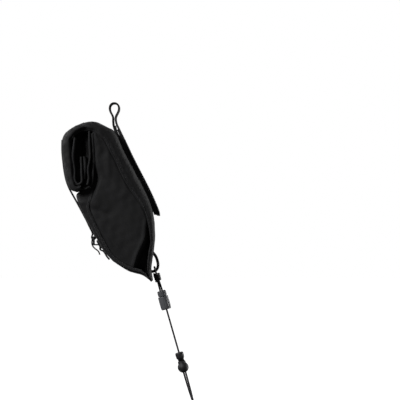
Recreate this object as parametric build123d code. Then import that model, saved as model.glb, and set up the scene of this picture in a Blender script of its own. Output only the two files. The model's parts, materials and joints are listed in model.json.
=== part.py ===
from build123d import *
import os
from math import cos, pi, radians, sin, tan

# A roll-top saddle bag with its mounting strap, closure strap and tether.
# Frame: origin at the centre of the bar that the mounting strap goes round,
# +X towards the front of the bicycle, +Y to its left, +Z up. Millimetres.

# ---- bag fabric -------------------------------------------------------------
half_width_top = 42.0  # half the pouch's width at the height of the bar
half_width_tip = 27.0  # half its width at tip_depth below the bar
tip_depth = 185.0
ply = 1.4  # laminated fabric, as one layer
sewn_gap = 0.1  # between layers that are sewn together
free_gap = 0.4  # between layers that move apart
board_thickness = 1.2
board_gap = 0.4
board_margin = 6.0
tape_thickness = 0.9
tape_inside = 4.0
tape_outside = 0.8

# ---- mounting strap ---------------------------------------------------------
bar_radius = 3.75  # radius of the bar that carries the bag
strap_thickness = 2.0
strap_width = 25.0
leg_gap = 0.6  # between the two legs below the bar
pile_thickness = 0.9
flap_pivot = (3.4, -19.2)
flap_step = (0.65, 1.55)  # from the pivot back to the sewn leg's end, and on to the flap's
neck_height = 2.2  # of the eye's neck below the bar, in radii of the strap's middle

# ---- roll and closure strap -------------------------------------------------
lid_pivot = (-7.8, -21.3)
lid_clearance = 0.9  # from the lid's line of bending to the plies on each side
roll_overhang = 0.5  # of the roll, past the pouch's half width
roll_inset = 1.0  # from the cover's edge to its inner layers' edges
back_ply_thickness = 2.4
fold_thickness = 2.0
hem_centre = (-29.2, -61.0)
hem_thickness = 3.2
hem_height = 20.0
hem_inset = 2.0
hem_corner = 1.2
hem_strip_thickness = 1.0
hem_strip_height = 16.0
hem_strip_inset = 4.0
closure_width = 20.0
closure_thickness = 1.6
closure_joint_gap = 1.1  # from the closure strap's pivot to each of its halves
eye_wall = 1.2
closure_pivot = (-55.6, -32.0)
hook_pivot = (-21.6, -134.4)
hook_bar_radius = 1.0
hook_bar_clearance = 0.3
hook_plate_thickness = 1.6
hook_cheek_width = 1.6
hook_window = 1.8  # height between the bar's clearance and the plate
hook_height = 8.4  # from the bar's axis to the plate's end
lip_length = 5.0
lip_thickness = 1.2
lip_clearance = 2.0  # from each end of the hook's lip to the ring
tail_thickness = 1.0
ring_wire_radius = 1.0
ring_inner_half_width = 10.0
ring_corner = 1.6
ring_top = (-17.6, -138.4)
ring_bottom = (-13.8, -145.4)
anchor_thickness = 1.4
anchor_eye_wall = 1.0
anchor_side_gap = 1.8  # from the webbing's edge to the ring's end

# ---- tether -----------------------------------------------------------------
tab_width = 8.0
tab_thickness = 2.2
tab_side_gap = 0.5  # from the tab's edge to the cord beside it
tether_pivot = (41.8, -166.4)
tether_angle = 16.0  # degrees from straight down, towards +X
cord_diameter = 2.0
cord_overlap = 6.0  # of the single cord's end into the barrel lock
strand_gap = 0.3  # between the strands of a doubled run
knot_centre = 12.0  # distances below are along the tether from its pivot
knot_wall = 0.95
knot_clearance = 0.5  # more than a lock has, round the doubled cord
knot_turns = 3
turn_overlap = 0.15  # of each turn of the knot into the next
knot_length = 7.0
barrel_top = 24.6
barrel_length = 20.1
barrel_radius = 5.4
barrel_cap_radius = 4.7
barrel_cap_length = 6.0
barrel_cap_chamfer = 0.8
barrel_chamfer = 1.0
barrel_stem_length = 6.0
barrel_travel = 1.5
ball_lock_top = 91.2
ball_button_length = 6.8
ball_button_radius = 4.4
ball_radius = 5.7
ball_centre = 107.4
ball_flat = 0.5  # cut off the ball's top
ball_button_fillet = 1.6
ball_stem_end = -1.6  # from the ball's centre down to the stem's end
ball_seat_end = 3.6
press_clearance = 0.3  # left between a button and its body when pressed
spring_clearance = 0.1
bore_clearance = 0.2  # round the doubled cord in a lock
stem_wall = 0.85
stem_clearance = 0.2
spring_wire = 0.5
spring_turns = 5
seat_depth = 8.0  # depth of the bore that a stem and its spring work in
hook_eye_centre = 150.0
hook_eye_radius = 3.4
hook_wire_radius = 1.5
hook_throat_radius = 6.5
hook_shank = 16.0
hook_tip_length = 5.0
hook_tip_bead = 0.2  # by how much the tip's ball is wider than the wire
eye_clearance = 0.3  # between the cord and the wire of the eye that it goes round

# ---- sizes worked out from those above --------------------------------------
leg_offset = (strap_thickness + leg_gap) / 2  # from the eye's middle plane to each leg's
strand_offset = (cord_diameter + strand_gap) / 2  # from the tether's axis to each strand
lock_bore_radius = strand_offset + cord_diameter / 2 + bore_clearance
hook_lip_half_width = ring_inner_half_width - lip_clearance
roll_half_width = half_width_top + roll_overhang
knot_bore_radius = lock_bore_radius + knot_clearance
knot_radius = knot_bore_radius + knot_wall
barrel_stem_end = barrel_top + barrel_cap_length + barrel_stem_length
barrel_body_top = barrel_top + barrel_cap_length + barrel_travel + press_clearance
barrel_seat_end = barrel_body_top + seat_depth
ball_body_top = ball_centre - ball_radius + ball_flat
past_sides = half_width_top + 18.0  # half width of what is cut to the sides afterwards


def line(points):
    """Points (x, z) of the middle plane as vectors."""
    return [Vector(x, 0, z) for x, z in points]


def shifted(points, distance):
    """The points moved sideways, to the left of the way they run, by distance."""
    result = []
    last = len(points) - 1
    for i, point in enumerate(points):
        before = points[max(i - 1, 0)]
        after = points[min(i + 1, last)]
        along = Vector(after[0] - before[0], 0, after[1] - before[1]).normalized()
        result.append((point[0] - along.Z * distance, point[1] + along.X * distance))
    return result


def across(face, half_width):
    """A face of the middle plane, thickened to both sides along Y."""
    return extrude(face, amount=half_width, dir=(0, 1, 0), both=True)


def band(points, low, high, half_width):
    """A layer that follows points, from low to high to the left of them."""
    inner = line(shifted(points, low))
    outer = line(shifted(points, high))
    edges = [
        Spline(*inner),
        Line(inner[-1], outer[-1]),
        Spline(*outer[::-1]),
        Line(outer[0], inner[0]),
    ]
    return across(make_face(edges), half_width)


def wedge(grow):
    """The tapered space between the side panels, with each side moved out by grow."""
    top, rear, length = 20.0, -90.0, 190.0
    slope = (half_width_top - half_width_tip) / tip_depth
    at_top = half_width_top + slope * top + grow
    at_tip = half_width_tip + grow
    low = -tip_depth
    section = Polyline(
        (rear, -at_top, top), (rear, at_top, top), (rear, at_tip, low), (rear, -at_tip, low), close=True
    )
    return extrude(make_face(section), amount=length, dir=(1, 0, 0))


def half_space(side):
    """A large block on the left (side 1) or right (side -1) of the middle plane."""
    width = 2 * past_sides
    return Pos(0, side * width / 2, -tip_depth / 2) * Box(2 * tip_depth, width, 2 * tip_depth)


# Outer faces of the pouch in the middle plane, from top to tip.
front_line = [
    (-6.9, -21.5), (-1.6, -23.6), (2.4, -28.6), (5.0, -35.0), (13.0, -52.0), (22.4, -69.7),
    (30.7, -85.3), (36.8, -98.8), (39.8, -111.0), (41.2, -125.0), (41.1, -140.0), (39.2, -154.0),
    (37.9, -163.0), (37.9, -170.0), (39.2, -177.6),
]
rear_line = [
    (-22.2, -26.4), (-20.4, -50.0), (-19.6, -70.0), (-22.6, -82.0), (-29.0, -92.0),
    (-32.6, -101.5), (-31.4, -109.0), (-26.2, -119.0), (-19.0, -132.6), (-14.2, -141.6),
    (-7.6, -151.6), (0.5, -159.1), (10.9, -166.0), (21.3, -170.2), (29.6, -172.2), (37.6, -178.8),
]
# The mounting strap's line on the front panel, from the top down.
strap_line = [
    (5.0, -35.0), (13.0, -52.0), (22.4, -69.7), (30.7, -85.3), (37.0, -98.2), (41.0, -107.6),
]


def pouch_outline(inset):
    """The space inside the pouch in the middle plane, inset from its outer faces."""
    front = line(shifted(front_line, -inset))
    rear = line(shifted(rear_line, inset))
    edges = [Spline(*front), Line(front[-1], rear[-1]), Spline(*rear[::-1]), Line(rear[0], front[0])]
    return make_face(edges)


def side_panel(side):
    block = across(pouch_outline(0.0), past_sides)
    shell = wedge(0) - wedge(-ply)
    return block & shell & half_space(side)


def front_panel():
    return band(front_line, -ply, 0, past_sides) & wedge(-ply)


def rear_panel():
    inside = across(pouch_outline(0.0), past_sides)
    return (band(rear_line, 0, ply, past_sides) & wedge(-ply) & inside) - front_panel()


def back_board():
    """Stiffener behind the front panel."""
    run = shifted(front_line[3:11], -ply - board_gap)
    return band(run, -board_thickness, 0, past_sides) & wedge(-ply - board_margin)


def binding_tape(side):
    """Tape sewn over the seam between the rear panel and one side panel."""
    run = rear_line[5:]
    shell = wedge(tape_thickness) - wedge(0)
    return band(run, -tape_outside, tape_inside, past_sides) & shell & half_space(side)


def mount_strap_base():
    """Webbing sewn down the front panel, up to the bar, round it and down again."""
    half = strap_thickness / 2
    radius = bar_radius + half
    sewn = shifted(strap_line[:-1], sewn_gap + half)[::-1]
    neck = neck_height * radius
    rear_leg = sewn + [(1.7, -26.2), (-0.6, -20.0), (-leg_offset, -neck)]
    foot = (flap_pivot[0] - flap_step[0], flap_pivot[1] + flap_step[1])
    front_leg = [(leg_offset, -neck), (1.5, -14.0), foot]
    strap = band(rear_leg, -half, half, strap_width / 2) + band(front_leg, -half, half, strap_width / 2)
    ring = Circle(radius + half) - Circle(bar_radius)
    ring = ring - Pos(0, -radius) * Rectangle(3 * radius, radius)
    strap = strap + across(Plane.XZ * ring, strap_width / 2)
    for side in (-1, 1):
        end = (side * radius, -radius / 2 + 0.2)
        shoulder = [(side * leg_offset, -neck - 1.0), (side * leg_offset, -neck), (side * 2.3, -7.2),
                    (side * 4.0, -4.2), end, (side * radius, -1.0)]
        strap = strap + band(shoulder, -half, half, strap_width / 2)
    strap = strap - across(pouch_outline(-sewn_gap), past_sides)
    return strap - Rot(90, 0, 0) * Cylinder(bar_radius, 2 * strap_width)


def loop_pile():
    """Soft half of the hook-and-loop, on the sewn run."""
    start = 2 * sewn_gap + strap_thickness
    pile = band(strap_line[:-1], start, start + pile_thickness, strap_width / 2)
    return pile - mount_strap_base()


def hook_pile():
    """Hooked half, on the flap's inner face."""
    start = 2 * sewn_gap + strap_thickness + pile_thickness + free_gap
    return band(strap_line[1:], start, start + pile_thickness, strap_width / 2)


def mount_flap():
    """The free end of the mounting strap, which peels off the front panel."""
    start = 3 * sewn_gap + strap_thickness + 2 * pile_thickness + free_gap
    middle = shifted(strap_line, start + strap_thickness / 2)
    x, z = flap_pivot
    head = [(x + flap_step[0], z - flap_step[1]), (x + 3.1, z - 6.6)]
    run = head + middle
    end = (run[-1][0] + 1.6, run[-1][1] - 4.2)
    return band(run + [end], -strap_thickness / 2, strap_thickness / 2, strap_width / 2)


def tab_loop():
    """Webbing loop sewn to the lower front edge, which the tether hangs from."""
    run = [
        (39.9, -150.4), (43.4, -154.2), (45.6, -159.6), (45.9, -164.4), (43.5, -168.5), (38.6, -169.7),
    ]
    loop = band(run, -tab_thickness / 2, tab_thickness / 2, tab_width / 2)
    return loop - across(pouch_outline(-sewn_gap / 2), past_sides)


# ---- roll -------------------------------------------------------------------
def roll_cover():
    """Lid and outer layer of the roll: the front panel's fabric, carried over the top."""
    x, z = lid_pivot
    edge = x - lid_clearance
    outer = line([
        (edge, z + 0.6), (-15.1, -17.0), (-23.0, -15.4), (-31.0, -16.6), (-38.5, -20.0),
        (-46.5, -24.4), (-52.0, -29.8), (-53.8, -37.0), (-53.4, -45.0), (-52.0, -54.6), (-51.0, -62.0),
        (-49.7, -70.0), (-47.4, -78.6), (-43.6, -84.6), (-38.0, -86.2), (-32.8, -84.6),
    ])
    inner = line([
        (-32.6, -80.8), (-37.6, -80.6), (-41.6, -76.6), (-43.2, -68.0), (-44.0, -56.0),
        (-44.6, -44.0), (-43.8, -35.4), (-40.0, -28.6), (-33.0, -24.6), (-23.0, -22.8),
        (-15.0, -22.6), (edge, z - 0.6),
    ])
    edges = [Spline(*outer), Line(outer[-1], inner[0]), Spline(*inner), Line(inner[-1], outer[0])]
    return across(make_face(edges), roll_half_width)


def roll_fold():
    """Second turn of the roll: one layer, folded back up on itself."""
    half = fold_thickness / 2
    path = FilletPolyline((-39.6, 0, -33.5), (-41.6, 0, -50.0), (-40.4, 0, -76.6), (-34.6, 0, -76.4),
                          (-33.8, 0, -51.0), radius=[30, 2.7, 2.7])
    section = make_face(path.wire().offset_2d(half, kind=Kind.ARC, side=Side.BOTH))
    return across(section, roll_half_width - roll_inset)


def roll_back_ply():
    """The layer of the roll that lies next to the pouch."""
    run = [(-25.0, -24.4), (-24.2, -40.0), (-23.6, -60.0), (-24.6, -72.0), (-27.6, -78.4)]
    half = back_ply_thickness / 2
    return band(run, -half, half, roll_half_width - roll_inset)


def hem_strip():
    """Plastic strip in the mouth's hem, at the middle of the roll."""
    x, z = hem_centre
    width = 2 * (roll_half_width - hem_strip_inset)
    return Pos(x, 0, z) * Box(hem_strip_thickness, width, hem_strip_height)


def mouth_hem():
    """The mouth's hem, folded round its strip."""
    x, z = hem_centre
    outside = Box(hem_thickness, 2 * (roll_half_width - hem_inset), hem_height)
    outside = fillet(outside.edges().filter_by(Axis.Y), hem_corner)
    play = 2 * sewn_gap
    width = 2 * (roll_half_width - hem_strip_inset)
    pocket = Box(hem_strip_thickness + play, width + play, hem_strip_height + play)
    return Pos(x, 0, z) * (outside - pocket)


def closure_root():
    """Upper end of the closure strap, sewn to the roll."""
    x, z = closure_pivot
    start = (x, z + closure_joint_gap)
    run = [start, (x + 1.4, z + 4.4), (x + 6.0, z + 8.6), (x + 12.2, z + 12.2)]
    return band(run, -closure_thickness / 2, closure_thickness / 2, closure_width / 2)


def closure_strap():
    """The strap over the roll, from its sewn end to the eye that holds the hook."""
    x, z = closure_pivot
    half = closure_thickness / 2
    hx, hz = hook_pivot
    bore = hook_bar_radius + hook_bar_clearance
    run = [
        (x, z - closure_joint_gap), (x + 0.1, -45.0), (x + 1.5, -56.0), (x + 3.4, -69.0),
        (x + 6.8, -81.0), (x + 13.4, -93.0), (x + 21.0, -105.6), (x + 27.0, -118.0),
        (x + 31.2, -127.0), (hx - 1.7, hz + 1.2),
    ]
    eye = Rot(90, 0, 0) * Cylinder(bore + eye_wall, closure_width)
    hole = Rot(90, 0, 0) * Cylinder(bore, 2 * closure_width)
    return band(run, -half, half, closure_width / 2) + Pos(hx, 0, hz) * eye - Pos(hx, 0, hz) * hole


def hook_bar_frame():
    """Bar through the strap's eye, with a cheek at each end and the plate below."""
    hx, hz = hook_pivot
    cheek_middle = closure_width / 2 + hook_bar_clearance + hook_cheek_width / 2
    width = 2 * cheek_middle + hook_cheek_width
    top = -hook_bar_radius - hook_bar_clearance - hook_window
    bar = Rot(90, 0, 0) * Cylinder(hook_bar_radius, width)
    plate = Pos(0, 0, (top - hook_height) / 2) * Box(hook_plate_thickness, width, top + hook_height)
    lip = Pos(lip_length / 2, 0, lip_thickness / 2 - hook_height) * Box(
        lip_length, 2 * hook_lip_half_width, lip_thickness
    )
    frame = bar + plate + lip
    for side in (-1, 1):
        cheek = Box(hook_plate_thickness, hook_cheek_width, hook_height)
        frame = frame + Pos(0, side * cheek_middle, -hook_height / 2) * cheek
    return Pos(hx, 0, hz) * frame


def strap_tail():
    """Cut end of the strap, hanging from the hook's plate."""
    hx, hz = hook_pivot
    x = hx - hook_plate_thickness / 2 - sewn_gap - 0.8
    run = [(x, hz - 3.4), (x, hz - 7.6), (x + 3.0, hz - 11.8), (x + 6.6, hz - 14.8), (x + 8.0, hz - 18.2)]
    return band(run, -tail_thickness / 2, tail_thickness / 2, hook_lip_half_width)


def anchor_ring():
    """Wire ring that the hook catches."""
    top = Vector(ring_top[0], 0, ring_top[1])
    bottom = Vector(ring_bottom[0], 0, ring_bottom[1])
    along = bottom - top
    plane = Plane(origin=(top + bottom) / 2, x_dir=(0, 1, 0), z_dir=along.cross(Vector(0, 1, 0)))
    width = 2 * (ring_inner_half_width + ring_wire_radius)
    path = (plane * RectangleRounded(width, along.length, ring_corner)).wire()
    section = Plane(origin=path @ 0, z_dir=path % 0) * Circle(ring_wire_radius)
    return sweep(section, path=path)


def anchor_webbing():
    """Webbing folded round the ring's lower bar and sewn to the rear panel."""
    bx, bz = ring_bottom
    bore = ring_wire_radius + sewn_gap
    half_width = ring_inner_half_width - anchor_side_gap
    eye = Pos(bx, 0, bz) * Rot(90, 0, 0) * Cylinder(bore + anchor_eye_wall, 2 * half_width)
    hole = Pos(bx, 0, bz) * Rot(90, 0, 0) * Cylinder(bore, 4 * half_width)
    run = [(bx + 0.6, bz - 1.3), (-8.6, -152.6), (-4.6, -157.6)]
    sewn = band(run, -anchor_thickness, 0, half_width)
    return (sewn + eye - hole) - across(pouch_outline(-sewn_gap), past_sides)


# ---- tether -----------------------------------------------------------------
def along_tether():
    """Plane at the tether's pivot whose +Z runs down the tether and +Y is the row's +Y."""
    x, z = tether_pivot
    angle = radians(tether_angle)
    return Plane(origin=(x, 0, z), x_dir=(-cos(angle), 0, -sin(angle)), z_dir=(sin(angle), 0, -cos(angle)))


def tube(radius, start, end):
    return Pos(0, 0, (start + end) / 2) * Cylinder(radius, end - start)


def largest_radii(points):
    """For each corner, 0.45 of its shorter run over the tangent of half its turn."""
    radii = []
    for a, b, c in zip(points, points[1:], points[2:]):
        before = Vector(b) - Vector(a)
        after = Vector(c) - Vector(b)
        turn = before.get_angle(after)
        shorter = min(before.length, after.length)
        radii.append(0.45 * shorter / tan(radians(turn / 2)))
    return radii


def cord(name, points):
    """A round cord along straight runs and tangent arcs, in the tether's plane."""
    radii = largest_radii(points)
    path = FilletPolyline(*points, radius=radii).wire() if radii else Wire([Line(*points)])
    start = Plane(origin=points[0], z_dir=Vector(points[1]) - Vector(points[0]))
    solid = sweep(start * Circle(cord_diameter / 2), path=path)
    share = solid.volume / (pi * (cord_diameter / 2) ** 2 * path.length)
    print(name, "length", round(path.length, 1), "radii", [round(r, 1) for r in radii])
    print(name, "volume over section times length", round(share, 3))
    return along_tether() * solid


def upper_cord_points():
    """Up one side of the tab, over it through the loop, and down the other side."""
    side = tab_width / 2 + cord_diameter / 2 + tab_side_gap
    half = [
        (0, strand_offset, barrel_top + 2.0), (0.2, strand_offset, knot_centre + 7.0),
        (0, strand_offset + 0.1, knot_centre - knot_length / 2), (0, side, 4.6), (0, side, 0.8),
        (0, side - 1.7, -1.0),
    ]
    return half + [(x, -y, z) for x, y, z in half[::-1]]


def single_cord_points():
    """One strand from inside the barrel lock to inside the ball lock."""
    return [(0, 0, barrel_top + barrel_length - cord_overlap), (0, 0, ball_centre)]


def lower_cord_points():
    """Two strands from the ball lock down to the end hook's eye, and round it."""
    top = ball_centre
    turn = hook_eye_centre - hook_wire_radius
    side = hook_wire_radius + cord_diameter / 2 + eye_clearance
    half = [(0, strand_offset, top), (0, strand_offset + 0.3, top + 18), (0, side, turn - 3.0),
            (0, side, turn + side)]
    return half + [(x, -y, z) for x, y, z in half[::-1]]


def hitch_knot():
    """Wrapped knot that draws the two strands together under the tab."""
    pitch = knot_length / knot_turns
    first = knot_centre - (knot_turns - 1) / 2 * pitch
    turn = Torus(knot_radius - pitch / 2, pitch / 2 + turn_overlap)
    knot = Pos(0, 0, first) * turn
    for i in range(1, knot_turns):
        knot = knot + Pos(0, 0, first + i * pitch) * turn
    return along_tether() * (knot - tube(knot_bore_radius, 0, knot_centre + knot_length))


def lock_spring(start, end):
    """Compression spring round the cord, between a stem and the bottom of its bore."""
    middle = lock_bore_radius + stem_wall / 2
    height = end - start - 2 * spring_clearance - spring_wire
    path = Helix(pitch=height / spring_turns, height=height, radius=middle)
    section = Plane(origin=path @ 0, z_dir=path % 0) * Circle(spring_wire / 2)
    coil = sweep(section, path=path, is_frenet=True)
    return along_tether() * Pos(0, 0, start + spring_clearance + spring_wire / 2) * coil


def lock_stem(start, end):
    return tube(lock_bore_radius + stem_wall, start, end)


def lock_seat(start, end):
    return tube(lock_bore_radius + stem_wall + stem_clearance, start, end)


def barrel_cap():
    bottom = barrel_top + barrel_cap_length
    head = tube(barrel_cap_radius, barrel_top, bottom)
    head = chamfer(head.edges().sort_by(Axis.Z)[0], barrel_cap_chamfer)
    stem = lock_stem(bottom - barrel_cap_chamfer, barrel_stem_end)
    return along_tether() * (head + stem - tube(lock_bore_radius, 0, barrel_stem_end + 1))


def barrel_body():
    bottom = barrel_top + barrel_length
    shell = tube(barrel_radius, barrel_body_top, bottom)
    shell = chamfer(shell.edges().sort_by(Axis.Z)[-1], barrel_chamfer)
    bore = lock_seat(barrel_top, barrel_seat_end) + tube(lock_bore_radius, barrel_top, bottom + 1)
    return along_tether() * (shell - bore)


def barrel_spring():
    return lock_spring(barrel_stem_end, barrel_seat_end)


def ball_button():
    bottom = ball_lock_top + ball_button_length
    stem_end = ball_centre + ball_stem_end
    head = tube(ball_button_radius, ball_lock_top, bottom)
    head = fillet(head.edges().filter_by(GeomType.CIRCLE), ball_button_fillet)
    stem = lock_stem(bottom - ball_button_fillet, stem_end)
    return along_tether() * (head + stem - tube(lock_bore_radius, ball_lock_top - 1, stem_end + 1))


def ball_body():
    """Ball with a flat top, bored for the button's stem and for the cords."""
    ball = Pos(0, 0, ball_centre) * Sphere(ball_radius)
    flat = tube(ball_radius, ball_lock_top, ball_body_top)
    bottom = ball_centre + ball_radius + 1
    seat = lock_seat(ball_lock_top, ball_centre + ball_seat_end)
    return along_tether() * (ball - flat - seat - tube(lock_bore_radius, ball_body_top, bottom))


def ball_spring():
    return lock_spring(ball_centre + ball_stem_end, ball_centre + ball_seat_end)


def end_hook():
    """Wire hook with a closed eye for the cord and an open throat below it."""
    eye = Pos(0, 0, hook_eye_centre + hook_eye_radius) * Rot(90, 0, 0) * Torus(
        hook_eye_radius + hook_wire_radius, hook_wire_radius
    )
    top = hook_eye_centre + 2 * hook_eye_radius + hook_wire_radius
    bend = top + hook_shank
    r = hook_throat_radius + hook_wire_radius
    path = Wire([
        Line((0, 0, top), (0, 0, bend)),
        ThreePointArc((0, 0, bend), (-r, 0, bend + r), (-2 * r, 0, bend)),
        Line((-2 * r, 0, bend), (-2 * r, 0, bend - hook_tip_length)),
    ])
    wire = sweep(Pos(0, 0, top) * Circle(hook_wire_radius), path=path)
    tip = Pos(-2 * r, 0, bend - hook_tip_length) * Sphere(hook_wire_radius + hook_tip_bead)
    return along_tether() * (eye + wire + tip)


def main():
    os.makedirs("parts", exist_ok=True)
    pieces = {
        "side_panel_right": side_panel(-1),
        "side_panel_left": side_panel(1),
        "front_panel": front_panel(),
        "rear_panel": rear_panel(),
        "back_board": back_board(),
        "binding_tape_right": binding_tape(-1),
        "binding_tape_left": binding_tape(1),
        "mount_strap_base": mount_strap_base(),
        "loop_pile": loop_pile(),
        "hook_pile": hook_pile(),
        "mount_flap": mount_flap(),
        "tab_loop": tab_loop(),
        "roll_cover": roll_cover(),
        "roll_fold": roll_fold(),
        "roll_back_ply": roll_back_ply(),
        "mouth_hem": mouth_hem(),
        "hem_strip": hem_strip(),
        "closure_root": closure_root(),
        "closure_strap": closure_strap(),
        "strap_hook": hook_bar_frame(),
        "strap_tail": strap_tail(),
        "anchor_ring": anchor_ring(),
        "anchor_webbing": anchor_webbing(),
        "upper_cord": cord("upper_cord", upper_cord_points()),
        "hitch_knot": hitch_knot(),
        "barrel_cap": barrel_cap(),
        "barrel_spring": barrel_spring(),
        "barrel_body": barrel_body(),
        "tether_cord": cord("tether_cord", single_cord_points()),
        "ball_button": ball_button(),
        "ball_spring": ball_spring(),
        "ball_body": ball_body(),
        "lower_cord": cord("lower_cord", lower_cord_points()),
        "end_hook": end_hook(),
    }
    for name, shape in pieces.items():
        export_step(shape, f"parts/{name}.step")


if __name__ == "__main__":
    main()
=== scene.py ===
"""Roll-top saddle bag: cloth, straps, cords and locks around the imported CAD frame."""

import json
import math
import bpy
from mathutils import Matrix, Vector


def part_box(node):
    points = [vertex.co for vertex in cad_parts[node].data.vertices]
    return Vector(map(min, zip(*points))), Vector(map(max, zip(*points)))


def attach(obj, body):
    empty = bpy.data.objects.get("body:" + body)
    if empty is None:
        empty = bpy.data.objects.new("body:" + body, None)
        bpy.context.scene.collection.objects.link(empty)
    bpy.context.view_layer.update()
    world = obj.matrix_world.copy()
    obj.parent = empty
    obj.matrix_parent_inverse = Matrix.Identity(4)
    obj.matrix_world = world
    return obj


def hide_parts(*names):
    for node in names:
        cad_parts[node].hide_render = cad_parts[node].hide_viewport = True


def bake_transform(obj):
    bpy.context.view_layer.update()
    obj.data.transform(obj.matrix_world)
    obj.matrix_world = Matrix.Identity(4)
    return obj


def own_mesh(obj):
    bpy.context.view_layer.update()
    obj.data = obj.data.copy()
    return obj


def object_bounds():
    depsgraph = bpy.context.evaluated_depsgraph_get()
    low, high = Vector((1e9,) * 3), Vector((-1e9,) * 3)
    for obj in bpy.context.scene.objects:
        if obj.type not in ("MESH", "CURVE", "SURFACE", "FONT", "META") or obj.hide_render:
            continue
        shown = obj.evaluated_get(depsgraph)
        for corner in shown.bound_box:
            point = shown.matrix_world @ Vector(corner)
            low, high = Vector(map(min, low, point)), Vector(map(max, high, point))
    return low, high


bl_info = {
    "name": "Roll-top Saddle Bag",
    "version": (1, 0, 0),
    "blender": (4, 5, 0),
    "location": "View3D > Sidebar > Saddle Bag",
    "description": "Builds the cloth, straps, cords and locks of a roll-top saddle bag",
    "category": "Object",
}

import bpy
import numpy as np
from bpy.props import FloatProperty, FloatVectorProperty, IntProperty, PointerProperty
from mathutils import Vector

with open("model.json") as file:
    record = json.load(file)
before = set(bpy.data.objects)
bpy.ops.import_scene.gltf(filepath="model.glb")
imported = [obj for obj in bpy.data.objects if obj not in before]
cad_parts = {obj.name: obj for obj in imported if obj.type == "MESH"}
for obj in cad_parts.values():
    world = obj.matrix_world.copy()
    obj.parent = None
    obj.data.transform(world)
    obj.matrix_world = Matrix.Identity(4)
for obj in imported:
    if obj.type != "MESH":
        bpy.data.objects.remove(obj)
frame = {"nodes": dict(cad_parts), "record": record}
CAD_LOW, CAD_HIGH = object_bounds()
MM = 0.001
SIDES = ((-1, "right"), (1, "left"))


# ---------------------------------------------------------------- frame
def joint_plane(name, field):
    """A joint's pivot ("pos_m", metres) or axis ("axis") in the middle plane, as (x, z)."""
    joint = next(j for j in frame["record"]["behaviour"]["joints"] if j["name"] == name)
    return np.array(joint[field], float)[[0, 2]]


TETHER_TOP = joint_plane("tether_swing", "pos_m")
TETHER_DOWN = joint_plane("barrel_press", "axis")
TETHER_BACK = np.array([TETHER_DOWN[1], -TETHER_DOWN[0]])
TETHER_ALONG = np.array([TETHER_DOWN[0], 0, TETHER_DOWN[1]])
TETHER_ACROSS = np.array([TETHER_BACK[0], 0, TETHER_BACK[1]])
LID_LINE = joint_plane("roll_open", "pos_m")
ROLL_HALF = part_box("roll_cover")[1][1]
TIP_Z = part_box("front_panel")[0][2]
TOP_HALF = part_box("side_panel_left")[1][1]
TIP_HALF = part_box("binding_tape_left")[0][1]


def pouch_half(z):
    """Half the pouch's width at height z: a straight taper from the top to the tip."""
    top_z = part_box("side_panel_left")[1][2]
    share = (z - TIP_Z) / (top_z - TIP_Z)
    return TIP_HALF + (TOP_HALF - TIP_HALF) * np.clip(share, 0, 1.3)


# ---------------------------------------------------------------- settings
def linear(colour):
    """An sRGB hex colour as linear red, green and blue."""
    parts = [int(colour[i : i + 2], 16) / 255 for i in (1, 3, 5)]
    return tuple(p / 12.92 if p <= 0.04045 else ((p + 0.055) / 1.055) ** 2.4 for p in parts)


def colour_setting(name, description, value):
    return FloatVectorProperty(
        name=name, description=description, subtype="COLOR", size=3, min=0, max=1, default=linear(value)
    )


def length_setting(name, description, value, low, high):
    """A length whose default and limits are given in mm."""
    return FloatProperty(
        name=name, description=description, default=value * MM, min=low * MM, max=high * MM, unit="LENGTH"
    )


class SADDLEBAG_PG_settings(bpy.types.PropertyGroup):
    """Sizes and colours of the bag that a user would change."""

    cloth_thickness: length_setting("Cloth thickness", "Thickness of the coated nylon", 1.1, 0.3, 3)
    weave_pitch: length_setting("Weave pitch", "Distance from thread to thread of the nylon", 0.62, 0.2, 3)
    webbing_pitch: length_setting("Webbing pitch", "Distance from rib to rib of the webbing", 1.3, 0.4, 4)
    stitch_pitch: length_setting("Stitch pitch", "Length of one stitch and its gap", 2.9, 1, 6)
    wrinkle: FloatProperty(
        name="Wrinkle", description="How strongly the cloth is creased", default=1.0, min=0, max=2,
        subtype="FACTOR",
    )
    cord_strands: IntProperty(
        name="Cord strands", description="Strands round the braided cord", default=8, min=4, max=16,
    )
    nylon: colour_setting("Nylon", "Colour of the bag's cloth", "#1a1a1b")
    webbing: colour_setting("Webbing", "Colour of the straps", "#1c1c1e")
    thread: colour_setting("Thread", "Colour of the sewing thread", "#2e2e30")
    cord: colour_setting("Cord", "Colour of the braided cord", "#1d1d1f")
    lock: colour_setting("Barrel lock", "Colour of the barrel lock's plastic", "#5d5e61")
    ball: colour_setting("Ball lock", "Colour of the ball lock's plastic", "#232325")
    floor: colour_setting("Floor", "Colour of the studio floor", "#ffffff")


def settings():
    return bpy.context.scene.saddle_bag


# ---------------------------------------------------------------- lines and surfaces
def smooth_line(rows, count):
    """A line of count even steps through rows, whose first two columns are x and z in mm.

    All columns follow natural cubic splines over the distance from row to row, and are
    returned in metres.
    """
    rows = np.array(rows, float) * MM
    step = np.linalg.norm(np.diff(rows[:, :2], axis=0), axis=1)
    at = np.concatenate([[0], np.cumsum(step)])
    size = len(rows)
    system, right = np.eye(size), np.zeros(rows.shape)
    inner = np.arange(1, size - 1)
    system[inner, inner - 1] = step[:-1]
    system[inner, inner] = 2 * (step[:-1] + step[1:])
    system[inner, inner + 1] = step[1:]
    right[inner] = 6 * np.diff(np.diff(rows, axis=0) / step[:, None], axis=0)
    bend = np.linalg.solve(system, right)
    fine = np.linspace(0, at[-1], 40 * size)
    i = np.clip(np.searchsorted(at, fine, side="right") - 1, 0, size - 2)
    a, h = (fine - at[i])[:, None], step[i][:, None]
    b = h - a
    place = (
        bend[i] * b**3 / (6 * h) + bend[i + 1] * a**3 / (6 * h)
        + (rows[i] / h - bend[i] * h / 6) * b + (rows[i + 1] / h - bend[i + 1] * h / 6) * a
    )
    run = run_along(place[:, :2])
    return values_at(np.linspace(0, run[-1], count), run, place)


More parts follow.
